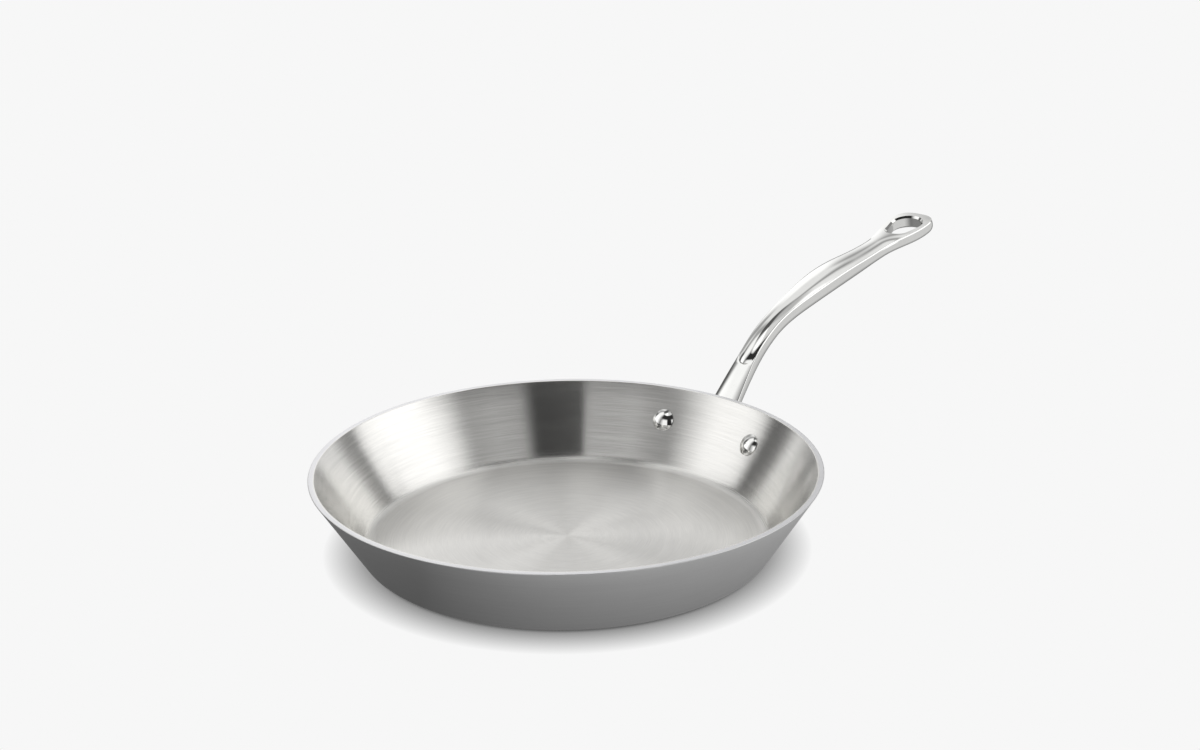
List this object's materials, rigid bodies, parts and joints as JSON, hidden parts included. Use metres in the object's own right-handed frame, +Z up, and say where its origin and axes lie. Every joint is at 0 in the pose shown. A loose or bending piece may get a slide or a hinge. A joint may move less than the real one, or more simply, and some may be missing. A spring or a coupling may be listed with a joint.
{
  "type": "omelette pan",
  "caption": "Shallow round omelette pan of clad steel sheet with flared wall and a long cast steel handle ending in a hanging loop.",
  "frame": {"origin": "centre of the flat base's underside", "axes": "+Z up out of the bowl, +X along the handle away from the bowl, +Y to the left of the handle seen from above"},
  "size_m": [0.4536, 0.26, 0.1075],
  "materials": {
    "brushed_steel": "brushed round the wall and across the floor",
    "aluminium_core": "cut edge, fine turned",
    "satin_steel": "satin, ground round the wall",
    "polished_casting": "mirror polished casting",
    "polished_rivet": "mirror polished"
  },
  "bodies": {
    "root": {"inner_ply": "brushed_steel", "core_ply": "aluminium_core", "outer_ply": "satin_steel", "handle": "polished_casting", "rivet_left": "polished_rivet", "rivet_right": "polished_rivet"}
  },
  "joints": []
}
